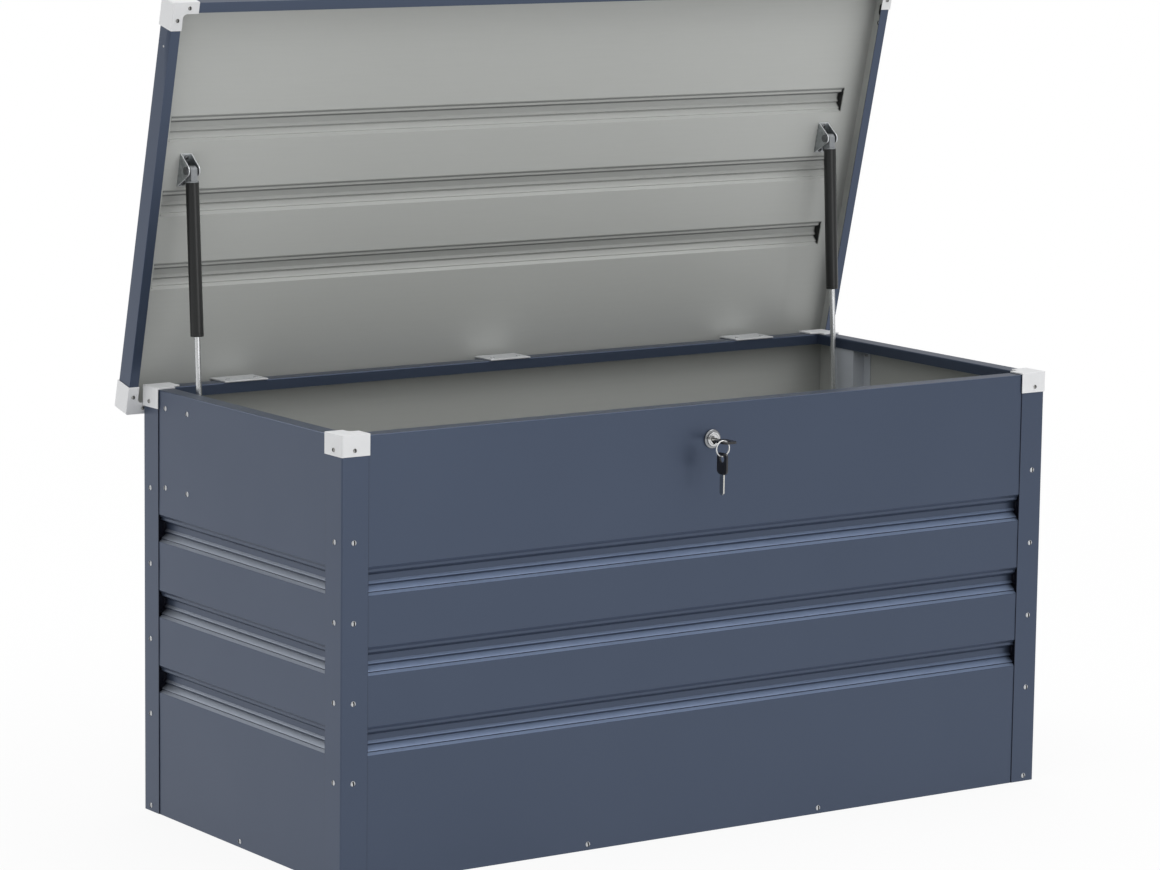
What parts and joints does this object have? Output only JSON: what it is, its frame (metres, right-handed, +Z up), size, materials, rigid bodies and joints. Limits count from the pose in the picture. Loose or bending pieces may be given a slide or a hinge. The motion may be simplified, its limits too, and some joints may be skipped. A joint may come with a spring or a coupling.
{
  "type": "deck storage box",
  "caption": "Sheet-steel deck storage box with grooved walls, plastic corner caps, a keyed cam lock and a hinged lid held open by gas struts.",
  "frame": {"origin": "on the ground, under the middle of the body's floor", "axes": "+X along the length, to the right seen from the lock's side; +Y to the back, where the hinges are; +Z up"},
  "size_m": [1.203, 0.5983, 1.117],
  "materials": {
    "slate_steel": "satin powder coat over sheet steel",
    "grey_steel": "matt primer grey over sheet steel",
    "white_plastic": "moulded satin white",
    "screw_steel": "bright zinc",
    "galvanised_steel": "zinc plated",
    "black_tube": "satin black",
    "rod_chrome": "polished",
    "lock_chrome": "polished",
    "key_steel": "nickel plated",
    "key_plastic": "black moulded"
  },
  "bodies": {
    "box": {"front_panel": "slate_steel", "back_panel": "slate_steel", "left_panel": "slate_steel", "right_panel": "slate_steel", "floor_panel": "grey_steel", "corner_post_front_left": "slate_steel", "corner_post_front_right": "slate_steel", "corner_post_back_right": "slate_steel", "corner_post_back_left": "slate_steel", "body_cap_front_left": "white_plastic", "body_cap_front_right": "white_plastic", "body_cap_back_right": "white_plastic", "body_cap_back_left": "white_plastic", "strut_channel_left": "grey_steel", "strut_channel_right": "grey_steel", "post_screws": "screw_steel", "cap_screws": "screw_steel", "floor_screws": "screw_steel", "channel_screws": "screw_steel", "hinge_body_leaves": "galvanised_steel", "hinge_pins": "screw_steel", "hinge_rim_screws": "screw_steel", "lock_barrel": "lock_chrome", "lock_rosette": "lock_chrome", "lock_nut": "galvanised_steel"},
    "lid": {"lid_sheet": "slate_steel", "lid_cap_front_left": "white_plastic", "lid_cap_front_right": "white_plastic", "lid_cap_back_right": "white_plastic", "lid_cap_back_left": "white_plastic", "lid_brace_left": "grey_steel", "lid_brace_right": "grey_steel", "lid_bracket_left": "galvanised_steel", "lid_bracket_right": "galvanised_steel", "lid_cap_screws": "screw_steel", "brace_screws": "screw_steel", "bracket_rivets": "screw_steel", "bracket_pins": "screw_steel", "hinge_lid_leaves": "galvanised_steel", "hinge_lid_screws": "screw_steel"},
    "strut_tube_left": {"strut_eye_left": "galvanised_steel", "strut_tube_left": "black_tube", "strut_gland_left": "black_tube"},
    "strut_rod_left": {"strut_rod_left": "rod_chrome", "rod_end_left": "galvanised_steel"},
    "strut_tube_right": {"strut_eye_right": "galvanised_steel", "strut_tube_right": "black_tube", "strut_gland_right": "black_tube"},
    "strut_rod_right": {"strut_rod_right": "rod_chrome", "rod_end_right": "galvanised_steel"},
    "lock_plug": {"lock_plug": "lock_chrome", "lock_cam": "galvanised_steel", "cam_screw": "screw_steel"},
    "key": {"key_blade": "key_steel", "key_bow": "key_plastic"},
    "key_ring": {"key_ring": "key_steel"},
    "spare_key": {"spare_key_bow": "key_plastic", "spare_key_blade": "key_steel"}
  },
  "joints": [
    {"name": "lid_hinge", "type": "hinge", "parent": "box", "child": "lid", "pos_m": [0, 0.2725, 0.574], "axis": [1, 0, 0], "range_deg": [0, 76.6], "stiffness_Nm_per_rad": 3, "springref_deg": -126.05},
    {"name": "strut_pivot_left", "type": "hinge", "parent": "lid", "child": "strut_tube_left", "pos_m": [-0.538, 0.19429, 0.88072], "axis": [1, 0, 0], "range_deg": [-6.85, 0]},
    {"name": "strut_slide_left", "type": "slide", "parent": "strut_tube_left", "child": "strut_rod_left", "axis": [0, 0.0622, 0.9981], "range_m": [0, 0.1737]},
    {"name": "strut_pivot_right", "type": "hinge", "parent": "lid", "child": "strut_tube_right", "pos_m": [0.538, 0.19429, 0.88072], "axis": [1, 0, 0], "range_deg": [-6.85, 0]},
    {"name": "strut_slide_right", "type": "slide", "parent": "strut_tube_right", "child": "strut_rod_right", "axis": [0, 0.0622, 0.9981], "range_m": [0, 0.1737]},
    {"name": "lock_turn", "type": "hinge", "parent": "box", "child": "lock_plug", "pos_m": [0, -0.2548, 0.5375], "axis": [0, 1, 0], "range_deg": [0, 90]},
    {"name": "key_slide", "type": "slide", "parent": "lock_plug", "child": "key", "axis": [0, -1, 0], "range_m": [0, 0.03]},
    {"name": "ring_swing", "type": "hinge", "parent": "key", "child": "key_ring", "pos_m": [-0.009, -0.292, 0.5375], "axis": [0, 1, 0], "range_deg": [-8, 8]},
    {"name": "spare_swing", "type": "hinge", "parent": "key_ring", "child": "spare_key", "pos_m": [-0.009, -0.292, 0.51962], "axis": [1, 0, 0], "range_deg": [-15, 15]}
  ],
  "couplings": [
    {"joint": "strut_pivot_left", "follows": "lid_hinge", "ratio": -0.089374},
    {"joint": "strut_slide_left", "follows": "lid_hinge", "m_per_rad": 0.12992},
    {"joint": "strut_pivot_right", "follows": "lid_hinge", "ratio": -0.089374},
    {"joint": "strut_slide_right", "follows": "lid_hinge", "m_per_rad": 0.12992}
  ]
}
